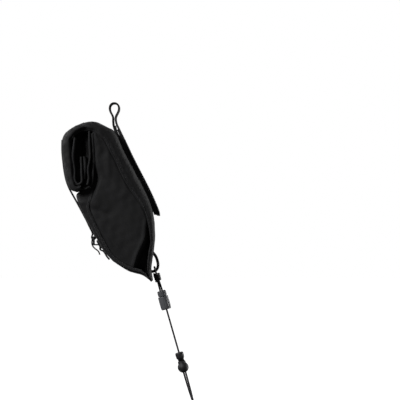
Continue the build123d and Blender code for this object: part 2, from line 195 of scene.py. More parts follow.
def run_along(line):
    """The distance from a line's start to each of its points."""
    return np.concatenate([[0], np.cumsum(np.linalg.norm(np.diff(line, axis=0), axis=1))])


def values_at(at, run, values):
    """The columns of values, known at the distances run, taken at the distances at."""
    return np.stack([np.interp(at, run, values[:, k]) for k in range(values.shape[1])], 1)


def circle(count):
    """Even steps of angle round a full turn."""
    return np.linspace(0, 2 * math.pi, count, endpoint=False)


def unit(vectors):
    return vectors / np.linalg.norm(vectors, axis=-1, keepdims=True)


def offset_rows(rows, distance):
    """Rows (x, z) moved to the left of the way they run by distance."""
    rows = np.array(rows, float)[:, :2]
    return (rows + distance * sideways(rows)).tolist()


def sideways(line):
    """Unit vectors to the left of a line of the middle plane."""
    along = unit(np.gradient(line[:, :2], axis=0))
    return np.stack([-along[:, 1], along[:, 0]], 1)


def soft_noise(points, scale, seed):
    """A smooth field from -1 to 1: the mean of nine waves in random directions, scale metres long."""
    rng = np.random.default_rng(seed)
    ways = unit(rng.normal(size=(9, 3)))
    lengths = scale * rng.uniform(0.6, 1.5, 9)
    phase = rng.uniform(0, 2 * math.pi, 9)
    waves = np.sin(points @ (ways / lengths[:, None]).T * 2 * math.pi + phase)
    return waves.sum(-1) / 3.2


def smoothstep(x, low, high):
    t = np.clip((x - low) / (high - low), 0, 1)
    return t * t * (3 - 2 * t)


def grid_normals(grid):
    """Unit normals of a grid of points, from the cross product of its two directions."""
    n = np.cross(np.gradient(grid, axis=0), np.gradient(grid, axis=1))
    return n / np.maximum(np.linalg.norm(n, axis=2, keepdims=True), 1e-12)


def add_object(name, data):
    piece = bpy.data.objects.new(name, data)
    bpy.context.collection.objects.link(piece)
    return piece


def mesh_piece(name, grid, ring=False, caps=False, loop=False, edge=None, outward=None):
    """A mesh over a grid of points (rows, columns, 3), smooth, with a UV map in metres.

    ring joins the last column to the first, caps closes both ends of such a tube, and loop
    joins its last row to its first. edge is a value per point, kept as the attribute "edge".
    Faces are turned to look away from outward, or, on a closed tube, out of it.
    """
    rows, columns = grid.shape[:2]
    index = np.arange(rows * columns).reshape(rows, columns)
    rows_from = index if loop else index[:-1]
    rows_to = np.roll(index, -1, axis=0) if loop else index[1:]
    if ring:
        sides = (rows_from, np.roll(rows_from, -1, axis=1), np.roll(rows_to, -1, axis=1), rows_to)
    else:
        sides = (rows_from[:, :-1], rows_from[:, 1:], rows_to[:, 1:], rows_to[:, :-1])
    quads = np.stack(sides, -1).reshape(-1, 4)
    points = grid.reshape(-1, 3)
    a, b, c = points[quads[:, 0]], points[quads[:, 1]], points[quads[:, 2]]
    normal = np.cross(b - a, c - a)
    middle = grid.mean(1)[quads[:, 0] // columns] if outward is None else np.array(outward)
    turned = (normal * (a - middle)).sum() < 0
    if turned:
        quads = quads[:, ::-1]
    faces = quads.tolist()
    if caps:
        ends = [index[0].tolist(), index[-1][::-1].tolist()]
        faces += [e[::-1] for e in ends] if not turned else ends
    mesh = bpy.data.meshes.new(name)
    mesh.from_pydata(points.tolist(), [], faces)
    down = np.zeros((rows, columns))
    down[1:] = np.cumsum(np.linalg.norm(np.diff(grid, axis=0), axis=2).mean(1))[:, None]
    side = np.zeros((rows, columns))
    side[:, 1:] = np.cumsum(np.linalg.norm(np.diff(grid, axis=1), axis=2).mean(0))[None, :]
    uv = mesh.uv_layers.new(name="UVMap")
    corner = np.zeros(len(mesh.loops), np.int32)
    mesh.loops.foreach_get("vertex_index", corner)
    flat = np.stack([side, down], -1).reshape(-1, 2)[corner]
    uv.data.foreach_set("uv", flat.ravel())
    if edge is not None:
        layer = mesh.attributes.new("edge", "FLOAT", "POINT")
        values = np.broadcast_to(edge, (rows, columns)).astype(np.float32)
        layer.data.foreach_set("value", values.ravel())
    mesh.polygons.foreach_set("use_smooth", np.ones(len(mesh.polygons), bool))
    mesh.validate()
    return add_object(name, mesh)


def band_grid(line, half_width, thickness, sides=9):
    """A flat band along a line of the middle plane: its profile is a rectangle with half-round
    edges, half_width to each side along Y and thickness through."""
    left = sideways(line)
    half_width = np.broadcast_to(half_width, len(line))[:, None]
    half = np.broadcast_to(thickness, len(line))[:, None] / 2
    turn = np.linspace(-math.pi / 2, math.pi / 2, sides)[None, :]
    flat = np.linspace(-1, 1, 15)[None, 1:-1]
    y_edge, t_edge = half_width - half + half * np.cos(turn), half * np.sin(turn)
    y_flat = (half_width - half) * -flat
    y = np.concatenate([y_edge, y_flat, -y_edge[:, ::-1], -y_flat], 1)
    t = np.concatenate([t_edge, half + 0 * y_flat, t_edge[:, ::-1], -half + 0 * y_flat], 1)
    x = line[:, :1] + left[:, :1] * t
    z = line[:, 1:2] + left[:, 1:] * t
    return np.stack([x, y, z], -1)


def lathe_grid(profile, flutes=0, sides=72):
    """A turned shape on the tether: profile is (radius, distance down the tether, depth of its
    flutes) in mm, and the flutes are a cosine round the axis."""
    radius, down, depth = np.array(profile, float).T[:, :, None]
    around = circle(sides)[None, :]
    radius = radius - depth * (0.5 + 0.5 * np.cos(flutes * around))
    return tether_point(radius * np.cos(around), radius * np.sin(around), down)


def tether_point(x, y, s):
    """Points in metres, x behind, y beside and s down the tether from its pivot, all in mm."""
    x, y, s = (np.array(v, float) * MM for v in (x, y, s))
    across, up = (TETHER_TOP[k] + TETHER_DOWN[k] * s + TETHER_BACK[k] * x for k in (0, 1))
    return np.stack([across, y, up], -1)


def finish_piece(piece, body, nodes, material, thickness=0.0):
    """Gives a piece its wall and its material, puts it on its body where body is a name, or bakes its
    transform where body is a tuple, and hides the CAD nodes that it stands for.
    """
    if thickness:
        wall = piece.modifiers.new("Wall", "SOLIDIFY")
        wall.thickness = thickness
        wall.offset = -1.0
        wall.use_even_offset = False
    piece.data.materials.append(material)
    if nodes:
        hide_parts(*nodes)
    if isinstance(body, tuple):
        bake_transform(piece)
    else:
        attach(piece, body)
    return piece


# ---------------------------------------------------------------- materials
def add_node(tree, kind, values=None, links=None, **fields):
    """Adds a node, sets its fields and its input values, and links its inputs."""
    node = tree.nodes.new(kind)
    for key, value in fields.items():
        setattr(node, key, value)
    for key, value in (values or {}).items():
        node.inputs[key].default_value = value
    for key, source in (links or {}).items():
        tree.links.new(source, node.inputs[key])
    return node


def made_once(build):
    """Makes build's material under a name at its first use, and gives it back after that."""

    def find_or_make(name, *values):
        material = bpy.data.materials.get(name)
        if material is None:
            material = bpy.data.materials.new(name)
            material.use_nodes = True
            tree = material.node_tree
            tree.nodes.clear()
            out = add_node(tree, "ShaderNodeOutputMaterial")
            shader = add_node(tree, "ShaderNodeBsdfPrincipled")
            tree.links.new(shader.outputs[0], out.inputs[0])
            build(tree, shader, *values)
        return material

    return find_or_make


def maths(tree, operation, *terms):
    """The result of a maths node whose terms are numbers or outputs of nodes."""
    values = {i: term for i, term in enumerate(terms) if isinstance(term, float)}
    links = {i: term for i, term in enumerate(terms) if i not in values}
    return add_node(tree, "ShaderNodeMath", values, links, operation=operation).outputs[0]


def noise(tree, scale, detail, **more):
    """Noise over the piece's own space."""
    place = add_node(tree, "ShaderNodeTexCoord")
    values = {"Scale": scale, "Detail": detail, **more}
    return add_node(tree, "ShaderNodeTexNoise", values, {"Vector": place.outputs["Object"]}).outputs[0]


def threads_uv(tree, turns):
    """The UV map's two coordinates in metres, times turns."""
    uv = add_node(tree, "ShaderNodeUVMap", uv_map="UVMap")
    scaled = add_node(tree, "ShaderNodeVectorMath", {1: (turns,) * 3}, {0: uv.outputs[0]},
                      operation="MULTIPLY")
    return add_node(tree, "ShaderNodeSeparateXYZ", links={0: scaled.outputs[0]}).outputs


def map_range(tree, factor, low, high):
    values = {"To Min": low, "To Max": high}
    return add_node(tree, "ShaderNodeMapRange", values, {"Value": factor}).outputs[0]


def paint(tree, shader, colour, factor, darker, lighter):
    """Colours the shader by a share of colour from darker to lighter as factor goes 0 to 1."""
    share = map_range(tree, factor, darker, lighter)
    scaled = add_node(tree, "ShaderNodeVectorMath", {0: colour}, {"Scale": share}, operation="SCALE")
    tree.links.new(scaled.outputs[0], shader.inputs["Base Color"])


def roughen(tree, shader, factor, low, high):
    tree.links.new(map_range(tree, factor, low, high), shader.inputs["Roughness"])


def emboss(tree, shader, height, strength, distance):
    bump = add_node(tree, "ShaderNodeBump", {"Strength": strength, "Distance": distance}, {"Height": height})
    tree.links.new(bump.outputs[0], shader.inputs["Normal"])


def set_inputs(shader, values):
    for key, value in values.items():
        shader.inputs[key].default_value = value


def edge_value(tree):
    """The attribute "edge": how near a seam, a round corner or a fold, where the nylon gets its painted
    highlight, or how high on a strand's crown.
    """
    return add_node(tree, "ShaderNodeAttribute", attribute_name="edge").outputs["Fac"]


@made_once
def coated_nylon(tree, shader, colour, pitch):
    """Coated plain-weave nylon, woven and calendered: matt black with a fine thread grain, a faint sheen at
    grazing angles, and a painted highlight that makes it paler, in cloudy patches, along its seams, round
    corners, band edges and the tuck's crease. The thread pitch is drawn about twice as coarse as the real
    0.3 mm, so that it shows."""
    across, along = threads_uv(tree, math.pi / pitch)[:2]
    weave = maths(tree, "MULTIPLY", maths(tree, "SINE", across), maths(tree, "SINE", along))
    cloudy, slub = noise(tree, 55.0, 5.0, Roughness=0.6), noise(tree, 900.0, 2.0)
    # painted highlight: paler where the attribute "edge" is high, in cloudy patches
    painted_edge_highlight = maths(tree, "MULTIPLY", edge_value(tree), cloudy)
    mix = maths(tree, "MULTIPLY_ADD", weave, 0.35, cloudy)
    paint(tree, shader, colour, maths(tree, "MULTIPLY_ADD", painted_edge_highlight, 0.9, mix), 0.6, 1.5)
    emboss(tree, shader, maths(tree, "MULTIPLY_ADD", slub, 0.5, weave), 0.55, 0.12 * MM)
    roughen(tree, shader, cloudy, 0.62, 0.8)
    set_inputs(shader, {"Sheen Weight": 0.06, "Sheen Roughness": 0.45, "Specular IOR Level": 0.3})


@made_once
def ribbed_webbing(tree, shader, colour, pitch):
    """Woven polyester webbing: flat cross ribs with a chevron of warp threads over them, matt,
    with a slight silky sheen."""
    across, along = threads_uv(tree, math.tau / pitch)[:2]
    zigzag = maths(tree, "PINGPONG", maths(tree, "MULTIPLY", across, 0.5), math.pi)
    rib = maths(tree, "SINE", maths(tree, "ADD", along, zigzag))
    warp = maths(tree, "SINE", maths(tree, "MULTIPLY", across, 3.0))
    height = maths(tree, "MULTIPLY_ADD", warp, 0.35, rib)
    tone = maths(tree, "MULTIPLY_ADD", height, 0.25, noise(tree, 120.0, 4.0))
    paint(tree, shader, colour, tone, 0.5, 1.6)
    emboss(tree, shader, height, 0.8, 0.2 * MM)
    set_inputs(shader, {"Roughness": 0.68, "Sheen Weight": 0.2, "Sheen Roughness": 0.4})


@made_once
def brushed_pile(tree, shader, colour, grain):
    """Hook-and-loop pile: a felted mat of fine loops or stubs, deep black, dusty on top."""
    place = add_node(tree, "ShaderNodeTexCoord")
    loops = add_node(tree, "ShaderNodeTexVoronoi", {"Scale": 1 / grain, "Randomness": 0.8},
                     {"Vector": place.outputs["Object"]})
    paint(tree, shader, colour, noise(tree, 160.0, 6.0), 0.4, 1.7)
    emboss(tree, shader, loops.outputs["Distance"], 0.9, 0.35 * MM)
    set_inputs(shader, {"Roughness": 0.9, "Sheen Weight": 0.35})


@made_once
def braided_cord(tree, shader, colour):
    """Braided nylon cord: its strands are in the mesh, so the shader adds fine filaments and
    the dull gloss of nylon."""
    lint = noise(tree, 2600.0, 3.0)
    paint(tree, shader, colour, maths(tree, "MULTIPLY_ADD", edge_value(tree), 0.6, lint), 0.4, 1.5)
    emboss(tree, shader, lint, 0.4, 0.05 * MM)
    set_inputs(shader, {"Roughness": 0.55, "Sheen Weight": 0.15})


@made_once
def moulded_acetal(tree, shader, colour, roughness):
    """Injection-moulded acetal: satin, slightly waxy, with a spark-eroded grain."""
    scuff = noise(tree, 260.0, 6.0, Roughness=0.7)
    paint(tree, shader, colour, scuff, 0.75, 1.3)
    roughen(tree, shader, scuff, roughness - 0.08, roughness + 0.12)
    emboss(tree, shader, noise(tree, 3200.0, 2.0), 0.25, 0.04 * MM)
    set_inputs(shader, {"IOR": 1.48})


@made_once
def coated_wire(tree, shader, colour, roughness, metallic):
    """Steel wire, powder-coated or bright-drawn, with fine scratches along it."""
    scratch = noise(tree, 700.0, 5.0, Distortion=0.4)
    paint(tree, shader, colour, scratch, 0.75, 1.25)
    roughen(tree, shader, scratch, roughness, roughness + 0.15)
    set_inputs(shader, {"Metallic": metallic})


def nylon():
    s = settings()
    return coated_nylon("coated nylon", tuple(s.nylon), s.weave_pitch)


def webbing():
    s = settings()
    return ribbed_webbing("ribbed webbing", tuple(s.webbing), s.webbing_pitch)


def grosgrain():
    return ribbed_webbing("grosgrain tape", tuple(settings().webbing), 0.7 * MM)


def thread():
    return braided_cord("sewing thread", tuple(settings().thread))


def give_material(node, material):
    """Puts a material on a carried-over CAD node."""
    piece = frame["nodes"][node]
    for i in range(max(1, len(piece.material_slots))):
        if not piece.material_slots:
            piece.data.materials.append(material)
        piece.material_slots[i].material = material


# ---------------------------------------------------------------- stitches
STITCH_SHARE = 0.62  # of the pitch; the rest is the gap
THREAD_RADIUS = 0.17 * MM
STITCH_GRID = 6  # points along a stitch, and round it


def stitches(name, path, normal, body):
    """A row of stitches along a path (n, 3) with surface normals (n, 3): each one is a small
    spindle, whose radius follows a half circle along it, laid along the path and arched."""
    pitch, run = settings().stitch_pitch, run_along(path)
    count = max(2, int(run[-1] / pitch))
    at = (np.arange(count) + 0.5) * run[-1] / count
    centre, up = values_at(at, run, path), unit(values_at(at, run, normal))
    along = unit(values_at(at + pitch / 4, run, path) - values_at(at - pitch / 4, run, path))
    across = np.cross(up, along)
    t = np.linspace(-1, 1, STITCH_GRID)[:, None]
    turn = circle(STITCH_GRID)[None, :]
    radius = THREAD_RADIUS * np.sqrt(np.clip(1 - t**2, 0.02, 1))
    rise = radius * np.sin(turn) + THREAD_RADIUS * (0.6 - t**2)
    local = np.stack([t * pitch * STITCH_SHARE / 2 + 0 * turn, radius * np.cos(turn), rise], -1)
    local = local.reshape(-1, 3)
    frames = np.stack([along, across, up], 1)
    points = (centre[:, None] + np.einsum("vk,ckj->cvj", local, frames)).reshape(-1, 3)
    size = STITCH_GRID**2
    index = np.arange(size).reshape(STITCH_GRID, STITCH_GRID)
    right = np.roll(index, -1, axis=1)
    quads = np.stack([index[:-1], right[:-1], right[1:], index[1:]], -1).reshape(-1, 4)
    quads = (quads[None] + size * np.arange(count)[:, None, None]).reshape(-1, 4).tolist()
    ends = [r.tolist() for k in range(count) for r in (index[0][::-1] + size * k, index[-1] + size * k)]
    mesh = bpy.data.meshes.new(name)
    mesh.from_pydata(points.tolist(), [], quads + ends)
    mesh.polygons.foreach_set("use_smooth", np.ones(len(mesh.polygons), bool))
    piece = add_object(name, mesh)
    return finish_piece(piece, body, (), thread())


# ---------------------------------------------------------------- pouch
# Rows of a strip sewn between the two sides, all in mm: x and z of its outer face in the
# middle plane, x and z of the edge that is turned onto the side, and the depth of its lip.
# The front strip runs from the tip up the front, over the top as the lid and down the roll.
FRONT_STRIP = [
    (39.4, -179.0, 37.2, -175.8, 2), (37.9, -170.4, 35.2, -168.6, 4), (37.9, -163.0, 35.2, -162.0, 6),
    (39.2, -154.0, 36.3, -152.6, 8), (41.1, -140.0, 38.2, -140.0, 8), (41.2, -125.0, 36.9, -124.4, 6),
    (39.8, -111.0, 33.8, -111.6, 3), (36.8, -98.8, 29.4, -101.2, 1.6), (30.7, -85.3, 20.6, -89.4, 1.6),
    (22.4, -69.7, 11.4, -74.3, 1.6), (13.0, -52.0, 2.6, -56.3, 1.6), (5.0, -35.0, -5.2, -41.0, 1.6),
    (1.9, -28.0, -8.9, -34.6, 1.6), (-2.2, -23.4, -12.2, -30.6, 1.6), (-7.8, -20.4, -15.4, -27.6, 1.6),
    (-15.1, -17.0, -19.6, -24.9, 1.8), (-23.0, -15.4, -25.0, -22.9, 2.4), (-31.0, -16.6, -31.0, -22.2, 3),
    (-38.5, -19.8, -36.4, -24.2, 3), (-46.3, -24.4, -41.2, -28.4, 3), (-51.5, -30.2, -43.4, -33.6, 3),
    (-53.1, -37.0, -43.6, -39.0, 3), (-53.0, -45.0, -43.2, -46.0, 3), (-52.0, -54.6, -42.8, -55.4, 3),
    (-51.1, -62.0, -42.4, -62.4, 3), (-49.9, -70.0, -41.8, -69.2, 3), (-47.6, -78.6, -40.8, -75.6, 3),
    (-43.6, -84.6, -39.4, -79.8, 3), (-38.0, -86.2, -37.0, -81.8, 3), (-33.5, -84.6, -33.9, -80.6, 3),
]
REAR_STRIP = [
    (38.0, -180.0, 36.0, -176.6, 2), (29.6, -172.9, 28.8, -168.6, 2), (21.3, -170.8, 21.6, -166.4, 2),
    (10.9, -166.4, 12.4, -162.9, 1.6), (0.5, -159.2, 2.6, -156.2, 1.6), (-7.6, -151.6, -4.2, -148.4, 1.6),
    (-14.2, -141.6, -9.4, -139.4, 1.6), (-19.0, -132.6, -14.2, -130.6, 1.6),
    (-26.2, -119.4, -20.0, -117.8, 1.6), (-31.6, -109.4, -24.2, -108.2, 1.6),
    (-35.0, -102.0, -25.7, -102.4, 1.6), (-37.6, -95.6, -24.1, -95.2, 1.8),
    (-38.2, -90.0, -22.0, -88.8, 2), (-34.4, -86.6, -19.8, -82.6, 2), (-27.6, -83.8, -18.3, -77.2, 2),
    (-22.8, -79.6, -18.0, -71.8, 2), (-21.6, -69.0, -18.6, -65.0, 2), (-22.2, -50.0, -20.4, -50.0, 2),
    (-23.4, -27.5, -21.4, -27.0, 2),
]
# The side panel's two edges, from the top down, x and z in mm.
SIDE_FRONT = [
    (-20.5, -24.6), (-14.0, -28.4), (-8.8, -34.3), (-4.7, -41.6), (0.5, -51.5), (5.7, -62.9),
    (10.9, -73.3), (16.1, -83.2), (21.3, -90.0), (26.5, -96.7), (30.6, -103.0), (33.8, -111.3),
    (36.2, -121.0), (38.3, -133.0), (38.3, -140.0), (36.6, -152.0), (35.4, -161.0), (35.4, -168.0),
    (36.8, -175.2),
]
SIDE_REAR = [
    (-22.0, -26.4), (-20.6, -40.0), (-19.6, -54.0), (-18.2, -68.0), (-18.2, -76.5), (-20.8, -85.3),
    (-24.4, -95.7), (-25.9, -103.6), (-24.4, -108.0), (-18.2, -121.7), (-14.0, -131.0), (-8.8, -140.4),
    (-4.2, -148.3), (0.5, -154.6), (6.5, -159.6), (13.0, -163.2), (21.3, -166.3), (28.6, -168.4),
    (35.6, -176.0),
]
# The crease where the side is tucked in behind the front strip: x and z in mm.
TUCK_CREASE = [
    (35.0, -110.0), (33.4, -122.0), (31.9, -136.0), (29.0, -143.0), (25.2, -151.0), (20.9, -165.0),
]
TUCK_DEPTH = 13.0
# Columns of a strip's channel, counted from its middle: half round its corner, its row of
# stitches, and the turned edge where the flange ends.
CORNER_COLUMN, STITCH_COLUMN, EDGE_COLUMN = 17, 25, 27


def channel_grid(rows, half_width, corner, crown, bulge, lean):
    """The strip's surface: a channel with round corners carried along the rows' lines.

    Half its profile, from the middle out, in y and depth from the outer line towards the turned edge's line:
    a face with a low parabolic crown, a quarter circle, the flange turned onto the side, which bulges by a
    sine and leans out by lean, and a lip that turns in. Also returns how near each column is to a seam, with
    half as much at the round corner, which the nylon turns into a painted highlight.
    """
    inward = rows[:, 2:4] - rows[:, :2]
    width, lip = np.linalg.norm(inward, axis=1, keepdims=True), rows[:, 4:5]
    inward = inward / width
    w = half_width[:, None]
    r = np.minimum(corner, 0.8 * width)
    bulge = np.minimum(bulge, 0.12 * (width - r))
    q = np.linspace(0, 1, 15)[None, :]
    face_y, face_d = q * (w - r), -crown * (1 - q**2) + 0 * w
    turn = np.linspace(0, math.pi / 2, 7)[None, 1:]
    corner_y, corner_d = w - r + r * np.sin(turn), r - r * np.cos(turn)
    q = np.linspace(0, 1, 8)[None, 1:]
    flange_y = w + bulge * np.sin(math.pi * q * 0.9) + lean * q
    flange_d = r + q * (width - r)
    turn = np.linspace(0, math.pi / 2, 5)[None, 1:]
    edge = 0.8 * MM
    over_y = flange_y[:, -1:] - edge * (1 - np.cos(turn))
    over_d = width + edge * np.sin(turn)
    lip_y = over_y[:, -1:] - lip * np.linspace(0, 1, 5)[None, 1:]
    lip_d = over_d[:, -1:] + 0 * lip_y
    y = np.concatenate([face_y, corner_y, flange_y, over_y, lip_y], 1)
    d = np.concatenate([face_d, corner_d, flange_d, over_d, lip_d], 1)
    y = np.concatenate([-y[:, :0:-1], y], 1)
    d = np.concatenate([d[:, :0:-1], d], 1)
    x = rows[:, :1] + inward[:, :1] * d
    z = rows[:, 1:2] + inward[:, 1:] * d
    column = np.abs(np.arange(y.shape[1]) - y.shape[1] // 2)
    # painted highlight along the turned edge's seam, and half as much along the round corner
    highlight_at_seams_and_corner = np.exp(-(((column - EDGE_COLUMN) / 1.6) ** 2))
    highlight_at_seams_and_corner = highlight_at_seams_and_corner + 0.5 * np.exp(-(((column - CORNER_COLUMN) / 2.0) ** 2))
    return np.stack([x, y, z], -1), highlight_at_seams_and_corner[None, :]


CREASE_SPACING, CREASE_DEPTH = 16 * MM, 0.5 * MM


def creased(grid, fold, seed):
    """The grid, moved along its normals by soft noise, more of it where fold is high."""
    fold = np.asarray(fold)[..., None] if np.ndim(fold) else fold
    wave = soft_noise(grid, CREASE_SPACING, seed)
    wave = wave + 0.5 * soft_noise(grid, CREASE_SPACING * 0.4, seed + 1)
    return grid + grid_normals(grid) * (wave[..., None] * CREASE_DEPTH * fold * settings().wrinkle)


def front_surface():
    """The front strip's creased surface: its flange leans out to the seam beside the strap, and
    in towards the hollow on the roll."""
    rows = smooth_line(FRONT_STRIP, 300)
    x, z = rows[:, 0], rows[:, 1]
    on_roll = smoothstep(-x, 8 * MM, 30 * MM) * smoothstep(z, -100 * MM, -90 * MM)
    half = pouch_half(z) * (1 - on_roll) + (ROLL_HALF - 0.6 * MM) * on_roll
    by_strap = smoothstep(z, -112 * MM, -90 * MM) * smoothstep(x, -12 * MM, 4 * MM)
    corner = (5.5 + 1.5 * by_strap + 1.5 * on_roll) * MM
    lean = ((2.8 * by_strap - 3.0 * on_roll) * MM)[:, None]
    half = half - 2.8 * MM * by_strap
    grid, seam = channel_grid(rows, half, corner[:, None], 0.6 * MM, 0.5 * MM, lean)
    across_strip = np.abs(np.linspace(-1, 1, grid.shape[1]))[None, :]
    return creased(grid, 0.5 + 0.7 * on_roll[:, None] * (0.4 + across_strip), 11), seam


def rear_surface():
    rows = smooth_line(REAR_STRIP, 190)
    half = pouch_half(rows[:, 1]) - 6.5 * MM * rear_valley(rows[:, 1])
    grid, seam = channel_grid(rows, half, 4.0 * MM, 0.8 * MM, 0.3 * MM, 0.0)
    return creased(grid, 0.5, 23), seam


class SADDLEBAG_OT_front_strip(bpy.types.Operator):
    """Builds the strip that is the front panel, the lid and the roll's outer layer"""

    bl_idname = "saddle_bag.front_strip"
    bl_label = "Front strip and roll cover"

    def execute(self, context):
        grid, seam = front_surface()
        piece = mesh_piece("front_strip", grid, edge=seam, outward=(0, 0, -80 * MM))
        start = (LID_LINE[0] + 3.5 * MM, 0, LID_LINE[1])
        end = (LID_LINE[0] - 3.5 * MM, 0, LID_LINE[1])
        finish_piece(
            piece, ("pouch", "roll", start, end), ("front_panel", "roll_cover"), nylon(),
            settings().cloth_thickness,
        )
        return {"FINISHED"}


class SADDLEBAG_OT_rear_strip(bpy.types.Operator):
    """Builds the strip that is the rear panel and the bottom"""

    bl_idname = "saddle_bag.rear_strip"
    bl_label = "Rear strip"

    def execute(self, context):
        grid, seam = rear_surface()
        piece = mesh_piece("rear_strip", grid, edge=seam, outward=(0.01, 0, -0.08))
        finish_piece(piece, "pouch", ("rear_panel",), nylon(), settings().cloth_thickness)
        return {"FINISHED"}


def rear_valley(z):
    """How far the rear seam is pulled in beside the roll's lower half, 0 to 1, at height z."""
    return smoothstep(z, -99 * MM, -88 * MM) * (1 - smoothstep(z, -72 * MM, -56 * MM))


def side_grid(side):
    """One side panel: lines from its rear seam to its front seam, swelled like a low pillow.

    Its depth below the taper is the sum of the turned-in seams, the tuck behind the front
    strip, the upright folds below the lid, a long shallow dent, and soft noise.
    """
    front, rear = smooth_line(SIDE_FRONT, 150), smooth_line(SIDE_REAR, 150)
    v = np.linspace(0, 1, 72)
    v = v - 0.08 * np.sin(2 * math.pi * v) / math.pi
    x = rear[:, :1] * (1 - v) + front[:, :1] * v
    z = rear[:, 1:2] * (1 - v) + front[:, 1:2] * v
    u = np.linspace(0, 1, len(front))[:, None]
    span = np.linalg.norm(front - rear, axis=1)[:, None]
    to_rear, to_front = span * v, span * (1 - v)
    pillow = 2.0 * MM * np.sqrt(np.clip(np.sin(math.pi * u) * 4 * v * (1 - v), 0, 1))
    behind = rear_valley(z)
    turned = 1.5 * MM * np.exp(-((to_front / (1.3 * MM)) ** 2))
    rear_depth, rear_reach = (1.5 + 6.5 * behind) * MM, (1.3 + 1.5 * behind) * MM
    turned = turned + rear_depth * np.exp(-((to_rear / rear_reach) ** 2))
    crease = smooth_line(TUCK_CREASE, 60)
    order = np.argsort(crease[:, 1])
    crease_x = np.interp(z, crease[order, 1], crease[order, 0])
    past = x - crease_x
    active = smoothstep(-z, 110 * MM, 124 * MM)
    tuck = TUCK_DEPTH * MM * active * (1 - np.exp(-np.clip(past, 0, 1) / (2.6 * MM)))
    lip = 0.9 * MM * active * np.exp(-(((past + 1.6 * MM) / (2.2 * MM)) ** 2))
    upright = smoothstep(z, -80 * MM, -48 * MM) * smoothstep(-x, -6 * MM, 10 * MM)
    sway = soft_noise(np.stack([x, 0 * x, z], -1), 30 * MM, 27)
    folds = 0.42 * MM * upright * np.sin(2 * math.pi * (x + 0.12 * z + 3 * MM * sway) / (7.5 * MM))
    slope = (z + 104 * MM) + 0.37 * (x + 24 * MM)
    dent = 1.1 * MM * np.exp(-((slope / (3.2 * MM)) ** 2)) * smoothstep(-x, -4 * MM, 14 * MM)
    y = pouch_half(z) - 0.4 * MM + pillow - turned - tuck + lip + folds * settings().wrinkle - dent
    grid = np.stack([x, y * side, z], -1)
    wave = soft_noise(grid, 34 * MM, 31 + side) * 0.55 + soft_noise(grid, 11 * MM, 33 + side) * 0.14
    inside = smoothstep(np.minimum(to_rear, to_front), 0, 4 * MM)
    grid[..., 1] += side * wave * MM * settings().wrinkle * inside
    seam = np.exp(-((to_rear / (2.0 * MM)) ** 2)) + np.exp(-((to_front / (2.0 * MM)) ** 2))
    # the tuck's crease is added to the seams, so the nylon paints a highlight along it too
    return grid, seam + 0.7 * active * np.exp(-((past / (1.6 * MM)) ** 2))


class SADDLEBAG_OT_sides(bpy.types.Operator):
    """Builds the two side panels with their tuck"""

    bl_idname = "saddle_bag.sides"
    bl_label = "Side panels"

    def execute(self, context):
        for side, name in SIDES:
            grid, seam = side_grid(side)
            piece = mesh_piece(f"side_cloth_{name}", grid, edge=seam, outward=(0.01, 0, -0.09))
            finish_piece(
                piece, "pouch", (f"side_panel_{name}",), nylon(), settings().cloth_thickness
            )
        return {"FINISHED"}


class SADDLEBAG_OT_seams(bpy.types.Operator):
    """Builds the binding tapes and the rows of stitches along the seams"""

    bl_idname = "saddle_bag.seams"
    bl_label = "Seams and binding"

    def execute(self, context):
        grid, front_grid = rear_surface()[0], front_surface()[0][:172]
        normals = grid_normals(front_grid)
        centre = grid.shape[1] // 2
        for side, name in SIDES:
            column = centre + side * EDGE_COLUMN
            run, tape_rows = grid[:, column], slice(4, 124)
            across = unit(grid[:, column - side * 3] - grid[:, column])
            turn = circle(14)[None, :, None]
            out = np.array([0, side, 0.0])[None, None, :]
            middle = run[tape_rows, None] + across[tape_rows, None] * 1.0 * MM
            tape = middle + across[tape_rows, None] * (1.5 * MM * np.cos(turn))
            tape = tape + out * (0.25 * MM + 0.32 * MM * np.sin(turn))
            piece = mesh_piece(f"binding_{name}", tape, ring=True, caps=True)
            finish_piece(piece, "pouch", (f"binding_tape_{name}",), grosgrain())
            up = np.broadcast_to(out[0], middle[:, 0].shape)
            stitches(f"rear_stitches_{name}", middle[:, 0] + 0.45 * MM * up, up, "pouch")
            column = centre + side * STITCH_COLUMN
            seam_run, up = front_grid[:, column], normals[:, column]
            up = up * np.sign(side * up[:, 1:2])
            stitches(f"front_stitches_{name}", seam_run + 0.1 * MM * up, up, "pouch")
        return {"FINISHED"}


# ---------------------------------------------------------------- roll
def layer(
    name, points, half_width, thickness, body, nodes, slot_name, material, wave=0.0, seed=0, count=110
):
    """A layer of cloth or webbing along points (x, z) in mm, with round edges and a soft wave."""
    line = smooth_line(points, count)
    grid = band_grid(line, half_width, thickness)
    if wave:
        reach = smoothstep(np.abs(grid[..., 1]), 0.5 * half_width, half_width)
        grid[..., 0] += soft_noise(grid, 22 * MM, seed) * wave * (0.35 + 0.65 * reach)
        grid[..., 2] += soft_noise(grid, 26 * MM, seed + 5) * wave * 0.6 * reach
        end_wave = soft_noise(grid * [1, 0, 1], 18 * MM, seed + 9)
        grid[..., 1] += np.sign(grid[..., 1]) * end_wave * wave * reach
    # towards the band's round edges: where the nylon paints its highlight
    seam = smoothstep(np.abs(grid[..., 1]), half_width - 1.6 * MM, half_width)
    piece = mesh_piece(name, grid, ring=True, caps=True, edge=seam)
    return finish_piece(piece, body, nodes, material)


